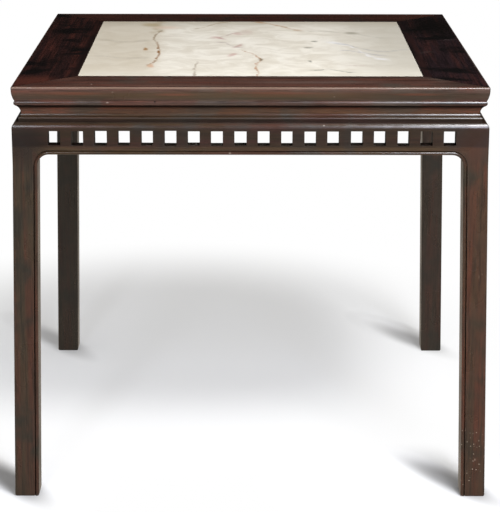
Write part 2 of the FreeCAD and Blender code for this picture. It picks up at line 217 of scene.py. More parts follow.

# %% [markdown]
# ## Cloth round a dark table
#
# Polished wood mirrors its surroundings, most of all at a flat angle, and white walls would turn a
# dark table grey. A studio therefore hangs black cloth all round such a table, and lays grey cloth
# on the floor. Flat cards would do, but they would show their corners in the polish, so the cloth here
# is one turned shape: a floor, a wall and a ceiling. Only glossy rays meet it, so it darkens what the
# wood mirrors, and takes no light away and shows nowhere. It is not lit: it glows, grey near the floor
# and nearly black above, so what the wood mirrors of it is a painted reflection. Its sizes are in
# metres.

# %% Cloth
cloth_wall = 4.6
cloth_ceiling = 4.4
cloth_off_floor = 0.002
seam_width = 0.001
cloth_steps = 64
grey_below, black_above = 0.1, 0.5
# How brightly the cloth glows: grey near the floor, nearly black above. The wood mirrors this glow as a
# painted reflection.
black_cloth_glow, grey_cloth_glow = 0.01, 0.5
cloth_glow_tone = linear("#fff2e0")

bm = bmesh.new()
profile = [(0.0, cloth_off_floor), (cloth_wall, cloth_off_floor), (cloth_wall, cloth_ceiling),
           (0.0, cloth_ceiling)]
verts = [bm.verts.new((radius, 0, z)) for radius, z in profile]
edges = [bm.edges.new(pair) for pair in zip(verts, verts[1:])]
bmesh.ops.spin(bm, geom=verts + edges, cent=(0, 0, 0), axis=(0, 0, 1), angle=2 * math.pi,
               steps=cloth_steps)
bmesh.ops.remove_doubles(bm, verts=bm.verts, dist=seam_width)
cloth_mesh = bpy.data.meshes.new("studio_cloth")
bm.to_mesh(cloth_mesh)
bm.free()
cloth = bpy.data.objects.new("studio_cloth", cloth_mesh)
bpy.context.scene.collection.objects.link(cloth)
for kind in ("camera", "diffuse", "transmission", "shadow", "volume_scatter"):
    setattr(cloth, "visible_" + kind, False)
cloth_finish, tree = new_tree("studio_cloth_glowing_grey_and_black")
height = add_node(tree, "SeparateXYZ", {0: add_node(tree, "TexCoord").outputs["Object"]}).outputs[2]
cloth_glow = add_node(tree, "MapRange", {"Value": height, "From Min": grey_below, "From Max": black_above,
                                    "To Min": grey_cloth_glow, "To Max": black_cloth_glow})
dim = add_node(tree, "Emission", {"Color": cloth_glow_tone, "Strength": cloth_glow})
add_node(tree, "OutputMaterial", {"Surface": dim})
cloth_mesh.materials.append(cloth_finish)
print("cloth with", len(cloth_mesh.polygons), "faces")

# %% [markdown]
# ## Lamps
#
# The main light is a softbox high on the right in front: it throws the legs' soft shadows back and
# to the left. A sun lamp would be simpler, but its shadows have hard edges. A tall panel in front on
# the right is what the mouldings mirror: a moulding shows a panel as a bright line, broader for a
# taller panel, and only where the panel stands in the mirror's direction. That is why each line is
# bright from the middle to the right. A weaker panel on the left gives the far left end of the
# aprons its short bright dab. All lengths here are in metres.

# %% Lamps
def softbox(name, place, target, size, power, colour):
    """A rectangular area lamp at a place, turned to face a target."""
    lamp = bpy.data.lights.new(name, "AREA")
    lamp.shape = "RECTANGLE"
    lamp.size, lamp.size_y = size
    lamp.energy = power
    lamp.color = linear(colour)[:3]
    obj = bpy.data.objects.new(name, lamp)
    obj.location = place
    obj.rotation_euler = (Vector(target) - Vector(place)).to_track_quat("-Z", "Y").to_euler()
    obj.visible_camera = False
    bpy.context.scene.collection.objects.link(obj)
    print(name, power, "W")


table_top_middle = (0, 0, 0.865)
softbox("key_softbox", (1.05, -2.1, 3.05), table_top_middle, (0.8, 0.8), 86, "#fbfcff")
softbox("right_panel", (0.93, -2.9, 2.15), table_top_middle, (0.85, 1.25), 62, "#e6eeff")
softbox("left_panel", (-0.95, -2.9, 2.15), table_top_middle, (0.3, 1.1), 20, "#eef2ff")

# %% [markdown]
# ## Edges softened by hand
#
# The frame's edges are as sharp as a drawing's. A joiner eases every edge with a scraper, and a
# century of dusting does the rest, so each visible piece is copied, its flat faces are cleaned of
# needless seams, and its sharp outer edges are rounded by about half a millimetre. A Bevel modifier
# could do that on the frame itself, but a copy in mesh code also lets the new narrow faces carry a
# mark, "worn", which the wood's finish reads to show the rubbed edges paler. The narrow faces in a
# groove and the walls of the holes get another mark, "recess", and the finish paints them nearly
# black: painted shade.

# %% Sharp edges, mitres and holes
sharp_angle = math.radians(38)
edge_round = 0.45 * MM
mitre_area = 100 * MM * MM
mitre_slant = (0.5, 0.9)
hole_pitch = 46.4 * MM
half_row = 9
hole_slack = 1 * MM
turned_aside = 0.1
hole_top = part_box("apron_front")[1][2] - 16.5 * MM
hole_foot = hole_top - 29.4 * MM


def on_mitre(edge, along):
    """An edge of a sawn mitre. It stays sharp, so that the joint looks shut."""
    return any(mitre_slant[0] < abs(face.normal[along]) < mitre_slant[1]
               and face.calc_area() > mitre_area for face in edge.link_faces)


def level_with_holes(z):
    """Whether a height lies between the sills and the heads of the holes."""
    return hole_foot - hole_slack < z < hole_top + hole_slack


def in_hole(face, along):
    """A wall, sill or head of one of an apron's holes: it doesn't face out or in."""
    middle = face.calc_center_median()
    return (level_with_holes(middle.z) and abs(middle[along]) < half_row * hole_pitch
            and abs(face.normal[1 - along]) < turned_aside)


print("holes stand every", round(hole_pitch / MM, 1), "mm,", 2 * half_row, "in a row")

# %% Worn edges and dark recesses
groove_wall = 3.2 * MM


def ease_edges(bm, along):
    """Rounds the sharp outer edges and marks the narrow new faces as worn."""
    worn = bm.faces.layers.float.new("worn")
    bm.normal_update()
    sharp = [edge for edge in bm.edges
             if edge.is_manifold and edge.calc_face_angle_signed() > sharp_angle
             and not on_mitre(edge, along)]
    eased = bmesh.ops.bevel(bm, geom=sharp, offset=edge_round, offset_type="OFFSET", segments=2,
                            profile=0.5, affect="EDGES", clamp_overlap=False)
    for face in eased["faces"]:
        face[worn] = 1.0
    bm.normal_update()


def mark_recesses(bm, name, along):
    """Marks the narrow faces in the grooves of legs and aprons, and the walls of the holes, for painted
    shade.
    """
    recess = bm.faces.layers.float.new("recess")
    for edge in bm.edges:
        if name.startswith(("leg", "apron")) and edge.calc_face_angle_signed(0.0) < -sharp_angle:
            for face in edge.link_faces:
                if face.calc_area() < groove_wall * max(side.calc_length() for side in face.edges):
                    face[recess] = 1.0
    for face in bm.faces:
        if name.startswith("apron") and in_hole(face, along):
            face[recess] = 1.0


print("edges are rounded by", edge_round / MM, "mm")

# %% Hand finishing
same_place = 0.005 * MM
flat_angle = math.radians(0.4)
crease_angle = math.radians(50)
finished = {}


def hand_finish(name, along, cut=None):
    """A copy of a joiner's piece with its outer edges eased, which then stands for that piece."""
    bm = bmesh.new()
    bm.from_mesh(nodes[name].data)
    bmesh.ops.remove_doubles(bm, verts=bm.verts, dist=same_place)
    if cut:
        cut(bm)
    bmesh.ops.dissolve_limit(bm, angle_limit=flat_angle, verts=bm.verts, edges=bm.edges,
                             delimit={"SEAM"})
    ease_edges(bm, along)
    mark_recesses(bm, name, along)
    for face in bm.faces:
        face.smooth = True
    for edge in bm.edges:
        edge.smooth = edge.calc_face_angle(math.pi) < crease_angle
    mesh = bpy.data.meshes.new(name + "_finished")
    bm.to_mesh(mesh)
    bm.free()
    if "custom_normal" in mesh.attributes:
        mesh.attributes.remove(mesh.attributes["custom_normal"])
    piece = bpy.data.objects.new(name + "_finished", mesh)
    bpy.context.scene.collection.objects.link(piece)
    weighted = piece.modifiers.new("even_shading", "WEIGHTED_NORMAL")
    weighted.keep_sharp = True
    weighted.mode = "FACE_AREA_WITH_ANGLE"
    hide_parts(name)
    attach(piece, "root")
    finished[name] = piece


# %% [markdown]
# ## Holes chopped by hand
#
# The holes in the aprons are chopped out with a chisel, one at a time, so no two are quite alike. An
# Array and a Boolean modifier would make them all the same. Here a line is drawn down the middle
# between neighbouring holes, so that each has a cell of its own. Then each side of each hole is moved
# by a part of a millimetre before its edges are eased, and the whole row sits a little to one side.

# %% Holes cut by hand
chisel = random.Random(8)
hole_slip = 0.6 * MM
hole_reach = 0.4 * hole_pitch
cell_line_width = 0.001 * MM
row_shift = {"front": 3.0 * MM, "back": -1.5 * MM, "left": 1.0 * MM, "right": -2.0 * MM}


def cut_by_hand(side, along):
    """Marks out a cell round each hole in one apron, then moves the sides of each hole a little."""
    slips = {}
    cell_lines = [(along, n * hole_pitch) for n in range(-half_row, half_row + 1)]
    cell_lines.append((2, (hole_top + hole_foot) / 2))

    def cut(bm):
        for axis, level in cell_lines:
            line = bmesh.ops.bisect_plane(
                bm, geom=bm.verts[:] + bm.edges[:] + bm.faces[:], dist=cell_line_width,
                plane_co=[level * (n == axis) for n in range(3)],
                plane_no=[float(n == axis) for n in range(3)])
            for part in line["geom_cut"]:
                if isinstance(part, bmesh.types.BMEdge):
                    part.seam = True
        for vert in bm.verts:
            hole = round(vert.co[along] / hole_pitch - 0.5)
            beside = vert.co[along] - (hole + 0.5) * hole_pitch
            in_row = -half_row <= hole < half_row and abs(beside) < hole_reach
            if not (in_row and level_with_holes(vert.co.z)):
                continue
            level = round((vert.co.z - hole_foot) / (hole_top - hole_foot) * 2)
            for key in ((hole, "side", beside > 0), (hole, "level", level)):
                if key not in slips:
                    slips[key] = chisel.uniform(-hole_slip, hole_slip)
            vert.co[along] += row_shift[side] + slips[hole, "side", beside > 0]
            vert.co.z += slips[hole, "level", level]
        print("apron", side, "has", len({key[0] for key in slips}), "holes")

    return cut


SIDES = {"front": 0, "back": 0, "left": 1, "right": 1}
CORNERS = ("front_left", "front_right", "back_left", "back_right")
for side, along in SIDES.items():
    hand_finish("top_rail_" + side, along)
    hand_finish("waist_" + side, along)
    hand_finish("base_moulding_" + side, along)
    hand_finish("apron_" + side, along, cut_by_hand(side, along))
for corner in CORNERS:
    hand_finish("leg_" + corner, 2)
hand_finish("marble_panel", 0)
print(len(finished), "pieces finished by hand")

# %% [markdown]
# ## Rosewood, stained and waxed
#
# The wood is a dense dark rosewood. Each board is planed, stained nearly black-brown and rubbed with
# wax for generations, which leaves a satin gloss, red where the stain is thin and olive where old
# wax has dulled it. A picture of wood could be wrapped round each piece, but noise that is stretched
# along the grain fits every board without seams and keeps its real scale. Each board gets its own
# figure and tone, as boards cut from different logs have.

# %% Grain and stain
# Real pores are about 0.2 mm wide. That is too fine to show, so they are drawn six times as coarse.
pore_width, pore_length = 1.2 * MM, 28 * MM
streak_width, streak_length = 3.2 * MM, 130 * MM
figure_width, figure_length = 17 * MM, 420 * MM
stain_patch = 85 * MM
rail_lines, board_lines = 0.65, 0.5


def grain(tree, place, along, board, width, length, detail, seed):
    """Noise drawn out along axis 0, 1 or 2. Boards with other numbers differ."""
    scale = [1 / width] * 3
    scale[along] = 1 / length
    spot = add_node(tree, "Mapping", {"Vector": place, "Scale": scale,
                                      "Location": (board * 3.7 + seed, board * 1.3, seed * 2.1)})
    return add_node(tree, "TexNoise", {"Vector": spot, "Scale": 1.0, "Detail": detail,
                                       "Roughness": 0.6, "Distortion": 0.25})


def stained(tree, tones, figure, streaks, pores, patches, line_strength):
    """The colour of clean wood: brown to red with its figure, olive in patches, dark in its lines."""
    dark, brown, red, olive = [linear(tone) for tone in tones]
    reddened = add_node(tree, "MapRange", {"Value": figure, "From Min": 0.40, "From Max": 0.70}, **SMOOTH)
    colour = add_node(tree, "Mix", {"Factor": reddened, "A": brown, "B": red}, **COLOURS)
    dulled = add_node(tree, "MapRange", {"Value": patches, "From Min": 0.50, "From Max": 0.68}, **SMOOTH)
    colour = add_node(tree, "Mix", {"Factor": dulled, "A": colour, "B": olive}, **COLOURS)
    lines = add_node(tree, "MapRange", {"Value": streaks, "From Min": 0.56, "From Max": 0.32,
                                        "To Max": line_strength}, **SMOOTH)
    colour = add_node(tree, "Mix", {"Factor": lines, "A": colour, "B": dark}, **COLOURS)
    specks = add_node(tree, "MapRange", {"Value": pores, "From Min": 0.52, "From Max": 0.36,
                                         "To Max": 0.35}, **SMOOTH)
    return add_node(tree, "Mix", {"Factor": specks, "A": colour, "B": dark}, **COLOURS)


print("figure", round(figure_width / MM), "mm wide and", round(figure_length / MM), "mm long")

# %% [markdown]
# ## Wear, soot, stains and painted light
#
# Age lies over the figure in several ways, and some of what is drawn here is painted light. The upper
# outer edge of the rails is painted pale: hands rub it, and on the front rail it also stands for a
# painted highlight. The recesses under the top, the grooves and the walls of the holes are painted
# nearly black, and bands on the fascia and under the mouldings darker: that is painted shade. The
# aprons and legs are darker at the height of the holes, and the rails towards the marble. Wax and soot
# draw a thin line where two boards meet at a mitre. A painted map could hold all this. Measured from
# the frame's own planes it needs no map, and stays crisp from near by. Old stains and scratches are
# soft ovals, placed one by one, because they lie where chance put them; a few ovals are painted shade
# instead. On one leg, pale drops have dried near the floor: a Voronoi texture gives each drop a cell
# and a chance of its own.

# %% Where age shows
# One dark tone: soot in the mitre joints, and the painted shade in recesses and bands.
soot_and_shade = linear("#120a06")
# The pale of worn wood. At the front rail's arris it also stands for a painted highlight.
rubbed_and_highlit = linear("#877160")
eased_edge_rub = 0.25
arris_width, arris_core, arris_ragged = 6.5 * MM, 2.5 * MM, 4 * MM
joint_width, joint_core, joint_soot = 1.8 * MM, 0.6 * MM, 0.8
# The rails are drawn darker towards the marble, starting this far in from their outer edge.
darker_by_marble_start, darker_by_marble_full, darker_by_marble = 88 * MM, 121 * MM, 0.5

half_top = -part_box("top_rail_front")[0][1]
z_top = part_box("marble_panel")[1][2]
z_frame_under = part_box("top_rail_front")[0][2]
z_moulding_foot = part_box("base_moulding_front")[0][2]
print("the top is", round(2 * half_top / MM), "mm wide and stands at", round(z_top / MM), "mm")


# %% Wear and a painted highlight
def worn_pale_and_highlit(tree, height, inward, figure, patches, rub_and_highlight):
    """How pale the wood is painted: eased edges a little by wear, and a rail's upper arris by its rub,
    which on the front rail is also a painted highlight.
    """
    eased = add_node(tree, "Attribute", attribute_name="worn").outputs["Fac"]
    uneven = add_node(tree, "MapRange", {"Value": patches, "From Min": 0.35, "From Max": 0.6,
                                         "To Max": eased_edge_rub}, **SMOOTH)
    wear_and_highlight = add_node(tree, "Math", {0: eased, 1: uneven}, operation="MULTIPLY")
    # A rail's upper arris is painted pale: wear, and on the front rail also a painted highlight.
    if rub_and_highlight:
        down = add_node(tree, "Math", {0: z_top, 1: height}, operation="SUBTRACT")
        from_arris = add_node(tree, "Math", {0: inward, 1: down}, operation="ADD")
        ragged = add_node(tree, "Math", {0: figure, 1: arris_ragged, 2: from_arris},
                          operation="MULTIPLY_ADD")
        arris = add_node(tree, "MapRange", {"Value": ragged, "From Min": arris_width,
                                            "From Max": arris_core, "To Max": rub_and_highlight}, **SMOOTH)
        wear_and_highlight = add_node(tree, "Math", {0: wear_and_highlight, 1: arris}, operation="MAXIMUM")
    return wear_and_highlight


print("rail arrises are rubbed over", arris_width / MM, "mm")


# %% Soot and painted shade
def soot_and_painted_shade(tree, height, side, depth, inward, painted_shade_and_dark_bands, rail, mitred):
    """How dark the wood is painted: soot in the mitres, painted shade in recesses and most bands, and
    simply darker in the bands at the holes and by the marble.
    """
    layers = []
    if mitred:
        apart = add_node(tree, "Math", {0: side, 1: depth}, operation="SUBTRACT")
        apart = add_node(tree, "Math", {0: apart}, operation="ABSOLUTE")
        layers.append(add_node(tree, "MapRange", {"Value": apart, "From Min": joint_width,
                                                  "From Max": joint_core, "To Max": joint_soot}, **SMOOTH))
    if rail:
        layers.append(add_node(tree, "MapRange", {"Value": inward, "From Min": darker_by_marble_start,
                                                  "From Max": darker_by_marble_full,
                                                  "To Max": darker_by_marble}, **SMOOTH))
    # Each band darkens the colour between two levels: mostly painted shade, at the holes simply darker.
    for low, high, fade, strength in painted_shade_and_dark_bands:
        above = add_node(tree, "Math", {0: height, 1: high}, operation="SUBTRACT")
        below = add_node(tree, "Math", {0: low, 1: height}, operation="SUBTRACT")
        outside = add_node(tree, "Math", {0: above, 1: below}, operation="MAXIMUM")
        layers.append(add_node(tree, "MapRange", {"Value": outside, "From Min": fade, "From Max": 0.0,
                                                  "To Max": strength}, **SMOOTH))
    # The faces marked in grooves and the walls of the holes are painted dark: painted shade.
    soot_and_shade_mask = add_node(tree, "Attribute", attribute_name="recess").outputs["Fac"]
    for layer in layers:
        soot_and_shade_mask = add_node(tree, "Math", {0: soot_and_shade_mask, 1: layer}, operation="MAXIMUM")
    return soot_and_shade_mask


print("soot starts", round(darker_by_marble_start / MM), "mm in from the rail's edge")

# %% Stains and drops
drop_spacing = 6 * MM
drop_tone = linear("#bdab94")
drop_strength = 0.55
splash_middle, splash_size = (455, -475, 85), (500, 500, 105)


def marked(tree, place, colour, marks):
    """Lays soft ovals of other tones over a colour. The last one lies on top."""
    for centre, size, turn, tone, strength in marks:
        mark = add_node(tree, "Math", {0: patch(tree, place, centre, size, turn), 1: strength},
                        operation="MULTIPLY")
        colour = add_node(tree, "Mix", {"Factor": mark, "A": colour, "B": linear(tone)}, **COLOURS)
    return colour


def splashed(tree, place, colour, drop_share):
    """Lays dried drops over a colour. At most this share of the cells has one."""
    cells = add_node(tree, "TexVoronoi", {"Vector": place, "Scale": 1 / drop_spacing})
    drop = add_node(tree, "MapRange", {"Value": cells.outputs["Distance"], "From Min": 0.2,
                                       "From Max": 0.1}, **SMOOTH)
    chance = add_node(tree, "SeparateColor", {0: cells.outputs["Color"]}).outputs[0]
    share = add_node(tree, "Math", {0: patch(tree, place, splash_middle, splash_size), 1: drop_share},
                     operation="MULTIPLY")
    dropped = add_node(tree, "Math", {0: chance, 1: share}, operation="LESS_THAN")
    drop = add_node(tree, "Math", {0: drop, 1: dropped}, operation="MULTIPLY")
    drop = add_node(tree, "Math", {0: drop, 1: drop_strength}, operation="MULTIPLY")
    return add_node(tree, "Mix", {"Factor": drop, "A": colour, "B": drop_tone}, **COLOURS)


print("drops have cells", round(drop_spacing / MM), "mm wide")

# %% [markdown]
# ## The waxed board
#
# All this comes together in one material. Wax over a dark stain gives the eye two things: a deep
# colour, and a satin sheen that shows long, soft reflections. A clear coat over a dull wood could make
# that too, but wax soaks in, so one surface with a low roughness is truer. Soot and painted shade take
# the sheen away. The plane leaves a slow ripple, and the pores a fine relief.

# %% Rosewood
plane_ripple = 45 * MM
ripple_depth, pore_depth = 0.8 * MM, 0.15 * MM
wax_gloss, leg_gloss, bare_gloss = (0.14, 0.26), (0.22, 0.38), (0.55, 0.7)
# Where soot or painted shade lies, the wood is rougher and less shiny.
soot_and_shade_dulling = 0.4
clean_shine, soot_and_shade_shine = 0.5, 0.08
waxed_wood_ior = 1.5


def rosewood(name, along, tones, board, gloss=wax_gloss, painted_shade_and_dark_bands=(), rub_and_highlight=0.0, mitred=True,
             marks=(), drop_share=0.0):
    """Waxed rosewood with its grain along axis 0, 1 or 2. Only a top rail has a rub at its arris: wear,
    and on the front rail also a painted highlight.
    """
    material, tree = new_tree(name)
    place = add_node(tree, "TexCoord").outputs["Object"]
    axes = add_node(tree, "SeparateXYZ", {0: place})
    height = axes.outputs[2]
    side = add_node(tree, "Math", {0: axes.outputs[0]}, operation="ABSOLUTE")
    depth = add_node(tree, "Math", {0: axes.outputs[1]}, operation="ABSOLUTE")
    reach = add_node(tree, "Math", {0: side, 1: depth}, operation="MAXIMUM")
    inward = add_node(tree, "Math", {0: half_top, 1: reach}, operation="SUBTRACT")

    figure = grain(tree, place, along, board, figure_width, figure_length, 3.0, 0.0)
    streaks = grain(tree, place, along, board, streak_width, streak_length, 2.0, 5.0)
    pores = grain(tree, place, along, board, pore_width, pore_length, 1.0, 9.0)
    patches = add_node(tree, "TexNoise", {"Vector": place, "Scale": 1 / stain_patch, "Detail": 3.0,
                                          "Distortion": 0.4})
    colour = stained(tree, tones, figure, streaks, pores, patches, rail_lines if rub_and_highlight else board_lines)
    wear_and_highlight = worn_pale_and_highlit(tree, height, inward, figure, patches, rub_and_highlight)
    colour = add_node(tree, "Mix", {"Factor": wear_and_highlight, "A": colour, "B": rubbed_and_highlit}, **COLOURS)
    colour = marked(tree, place, colour, marks)
    if drop_share:
        colour = splashed(tree, place, colour, drop_share)
    soot_and_shade_mask = soot_and_painted_shade(tree, height, side, depth, inward, painted_shade_and_dark_bands, bool(rub_and_highlight), mitred)
    colour = add_node(tree, "Mix", {"Factor": soot_and_shade_mask, "A": colour, "B": soot_and_shade}, **COLOURS)

    roughness = add_node(tree, "MapRange", {"Value": patches, "From Min": 0.3, "From Max": 0.7,
                                            "To Min": gloss[0], "To Max": gloss[1]})
    roughness = add_node(tree, "Math", {0: soot_and_shade_mask, 1: soot_and_shade_dulling, 2: roughness},
                         operation="MULTIPLY_ADD")
    shine = add_node(tree, "MapRange", {"Value": soot_and_shade_mask, "To Min": clean_shine, "To Max": soot_and_shade_shine})
    ripple = add_node(tree, "TexNoise", {"Vector": place, "Scale": 1 / plane_ripple, "Detail": 1.0})
    planed = add_node(tree, "Bump", {"Height": ripple, "Strength": 0.5, "Distance": ripple_depth})
    relief = add_node(tree, "Math", {0: streaks, 1: pores}, operation="ADD")
    bump = add_node(tree, "Bump", {"Height": relief, "Strength": 0.2, "Distance": pore_depth,
                                   "Normal": planed})
    surface = add_node(tree, "BsdfPrincipled", {"Base Color": colour, "Roughness": roughness,
                                                "IOR": waxed_wood_ior, "Specular IOR Level": shine,
                                                "Normal": bump})
    add_node(tree, "OutputMaterial", {"Surface": surface})
    return material


print("the planed face ripples every", round(plane_ripple / MM), "mm")

# %% [markdown]
# ## Tones, stains and soot of each board
#
# One material for all boards would be shorter, but boards from different logs differ, and so do the
# hands that rub them. Four tones make a board: its dark lines, its brown ground, the red of its
# figure and the olive of old wax. The front rail's arris is painted palest, as wear and as a painted
# highlight, and the side rails are nearly black. A stain or scratch is a centre and a size in
# millimetres, a turn in degrees, a tone and a strength; a few such ovals are painted shade. A band
# of painted shade, or at the height of the holes simply a darker band, is a lower and an upper level,
# the width of its soft edge and a strength.

# %% Tones
rail_tones = {"front": ("#20130f", "#583e35", "#653c30", "#54463d"),
              "back": ("#20120f", "#3b221c", "#562e23", "#382821"),
              "left": ("#0e090a", "#2a1817", "#4c2720", "#110c0c"),
              "right": ("#0c0909", "#281b1e", "#3f2320", "#100d0e")}
waist_tones = ("#24160f", "#4a2f1e", "#5a3022", "#403024")
lower_tones = ("#1f150f", "#3a2b1c", "#442820", "#332b22")
leg_tones = {"front_left": ("#120c08", "#33281b", "#402317", "#272118"),
             "front_right": ("#150d08", "#3b281a", "#482517", "#2c2316"),
             "back_left": ("#100d0a", "#2a231a", "#301f17", "#231f17"),
             "back_right": ("#130e0a", "#2e241c", "#362018", "#252019")}
brace_tones = ("#3a2a1e", "#6a503a", "#6e4c36", "#5c4a38")
peg_tones = ("#5a4430", "#8a6c4c", "#84623f", "#7a6246")
# How pale each rail's arris is painted: wear, and on the front rail also a painted highlight.
arris_rub_and_highlight = {"front": 0.55, "back": 0.5, "left": 0.4, "right": 0.4}
print("tones for", len(rail_tones), "rails and", len(leg_tones), "legs")

# %% Stains and scratches
TOP = z_top / MM
marks = {
    "top_rail_front": [
        ((0, -474, 847), (800, 11, 15), 0, "#4a3820", 0.75),
        # Along the bead: painted shade, carried on from the fascia's darker band, in colour alone.
        ((0, -470, 832), (800, 12, 6), 0, "#1f1712", 0.5),
        ((360, -474, 846), (230, 14, 18), 0, "#2a2219", 0.5),
        ((-400, -474, 842), (200, 12, 10), 0, "#332a1e", 0.4),
        ((-350, -475, 852), (90, 6, 5), 0, "#6a3a26", 0.6),
        ((-150, -475, 850), (60, 6, 4), 0, "#6e3c2a", 0.6),
        ((60, -475, 853), (120, 6, 4), 0, "#6a3b2a", 0.5),
        ((330, -475, 851), (70, 6, 4), 0, "#63341f", 0.6),
        ((-190, -470, 835), (3, 4, 3), 0, "#0d0807", 0.9),
        ((40, -472, 842), (230, 6, 3), 0, "#333020", 0.6),
        ((-430, -435, TOP), (100, 50, 8), 0, "#3a1d17", 0.55),
        ((440, -435, TOP), (100, 50, 8), 0, "#2b1e1a", 0.6),
        ((120, -420, TOP), (200, 16, 5), 1, "#6a5850", 0.5),
        ((-150, -455, TOP), (170, 9, 5), -1, "#70584c", 0.5),
        ((330, -400, TOP), (110, 12, 5), 2, "#2a1b17", 0.6),
        ((-300, -400, TOP), (130, 14, 5), 0, "#331f1a", 0.6),
        ((420, -470, 832), (160, 14, 6), 0, "#1d1916", 0.8),
        ((-440, -470, 832), (80, 14, 6), 0, "#26201c", 0.75),
        ((-317, -444, TOP), (2, 5, 3), 0, "#b09a8c", 0.55),
        ((-273, -474, 855), (4, 3, 1), 20, "#9c8474", 0.5),
        ((166, -472, 846), (3, 4, 1.5), 0, "#a39183", 0.4),
        ((-284, -470, 833), (4, 4, 2), 0, "#a8988a", 0.4),
    ],
    "top_rail_left": [
        ((-440, -410, TOP), (70, 80, 8), 0, "#5c3024", 0.55),
        ((-430, -200, TOP), (50, 110, 8), 0, "#0d0a0b", 0.4),
    ],
    "top_rail_right": [
        ((449, 94, TOP), (24, 3, 3), 8, "#6f6661", 0.4),
        ((389, -64, TOP), (20, 4, 3), -4, "#5d544f", 0.4),
        ((358, 205, TOP), (16, 5, 3), 10, "#5d544f", 0.4),
        ((377, -77, TOP), (14, 3, 3), 5, "#6f6661", 0.35),
        ((384, -402, TOP), (9, 3, 3), -12, "#a3968c", 0.5),
        ((430, 300, TOP), (90, 220, 20), 0, "#080707", 0.85),
    ],
    "apron_front": [
        # Over the corners where leg meets apron: at the left a dark oval of painted shade, at the right a
        # brown oval.
        ((-444, -475, 752), (62, 40, 46), 0, "#1f1612", 0.85),
        ((444, -475, 752), (62, 40, 46), 0, "#3b2318", 0.8),
        ((-41, -476, 732), (3, 6, 3), 0, "#8f8073", 0.5),
        ((146, -473, 788), (3, 6, 2), 0, "#b3a79d", 0.4),
    ],
    # The left corner's painted shade, as on the apron.
    "leg_front_left": [((-452, -475, 755), (52, 40, 75), 0, "#1f1612", 0.85)],
    "leg_front_right": [
        # The right corner's brown oval, as on the apron.
        ((452, -475, 755), (52, 40, 75), 0, "#3b2318", 0.8),
        ((464, -485, 476), (2, 8, 7), 0, "#8a7765", 0.45),
        ((468, -490, 82), (2, 8, 4), 0, "#9a8673", 0.4),
    ],
}
drop_shares = {"leg_front_right": 0.6}
print(sum(len(found) for found in marks.values()), "stains and scratches")

# %% Bands of painted shade, and darker bands at the holes
painted_shade_and_dark_bands = {
    # The fascia of each rail: painted shade, darker than the top because light falls on it less.
    "top_rail": [(z_frame_under + 12 * MM, z_top - 8 * MM, 5 * MM, 0.3)],
    # The cove under the rails, nearly black: painted shade.
    "waist": [(z_frame_under - 3 * MM, z_top, 6 * MM, 0.95)],
    # The lower roll and the foot of the moulding, under the upper roll: painted shade.
    "base_moulding": [(z_moulding_foot, z_moulding_foot + 7 * MM, 1.5 * MM, 0.42),
                      (z_moulding_foot, z_moulding_foot + 2.5 * MM, 2.5 * MM, 0.65)],
    # The apron's top, under the moulding: painted shade.
    "apron": [(z_moulding_foot - 1 * MM, z_top, 1.8 * MM, 0.6),
              # Darker at the height of the holes.
              (hole_foot, hole_top + 4 * MM, 6 * MM, 0.5)],
    # The legs are also darker at the height of the holes.
    "leg": [(hole_foot, hole_top + 4 * MM, 6 * MM, 0.5)],
}
print(sum(len(found) for found in painted_shade_and_dark_bands.values()), "kinds of soot band")


# %% Boards
def paint(piece, material):
    """Gives a piece one finish all over."""
    piece.data.materials.clear()
    piece.data.materials.append(material)


board = 0
for side, along in SIDES.items():
    for part in ("top_rail", "waist", "base_moulding", "apron"):
        board += 1
        name = part + "_" + side
        tones = {"top_rail": rail_tones[side], "waist": waist_tones}.get(part, lower_tones)
        rub_and_highlight = arris_rub_and_highlight[side] if part == "top_rail" else 0.0
        paint(finished[name], rosewood("rosewood_waxed_" + name, along, tones, board, rub_and_highlight=rub_and_highlight,
                                       painted_shade_and_dark_bands=painted_shade_and_dark_bands[part], marks=marks.get(name, ())))
for corner in CORNERS:
    board += 1
    name = "leg_" + corner
    paint(finished[name], rosewood("rosewood_waxed_" + name, 2, leg_tones[corner], board,
                                   gloss=leg_gloss, painted_shade_and_dark_bands=painted_shade_and_dark_bands["leg"], mitred=False,
                                   marks=marks.get(name, ()), drop_share=drop_shares.get(name, 0.0)))
print(board, "boards")

# %% [markdown]
# ## Plain planed wood inside
#
# The braces under the marble and the pegs are never stained or waxed, so they stay pale and dull. A
# flat brown would do where hardly anyone looks, but the same wood function serves at no cost.

# %% Braces and pegs
for n in (1, 2, 3):
    name = "cross_brace_%d" % n
    board += 1
    paint(nodes[name], rosewood("hardwood_planed_" + name, 1, brace_tones, board, gloss=bare_gloss,
                                mitred=False))
peg_finish = rosewood("hardwood_split_pegs", 2, peg_tones, board + 1, gloss=bare_gloss, mitred=False)
for name in ("frame_pegs", "brace_pegs", "moulding_pegs"):
    paint(nodes[name], peg_finish)
print("plain wood on the braces and pegs")

# %% [markdown]
# ## Honed marble with iron veins
#
# The panel is a cream marble, honed, not polished, so it has a soft sheen and no sharp mirror. Its
# ground is warm in the middle and greyer to the sides and the back. Iron has stained a few veins
# ochre and rose.
# Noise alone can make veins, but not these ones where they are, so each vein is a curve: it gives
# the vein's middle at each point of its run. A little noise makes it wander, and a smooth step makes
# it a soft line.

# %% Marble ground
slab_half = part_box("marble_panel")[1][0]
cloud_size, swirl_size, wander = 60 * MM, 32 * MM, 24 * MM
light_stone, dark_stone = linear("#f2ebdc"), linear("#dbd2c0")
hazes = [
    (0, -175, -225, "#c7baa2", 0.62),
    (0, 120, 340, "#bdb6a6", 0.75),
    (1, 240, 350, "#b3a994", 0.6),
    (1, -225, -350, "#e6decb", 0.4),
]

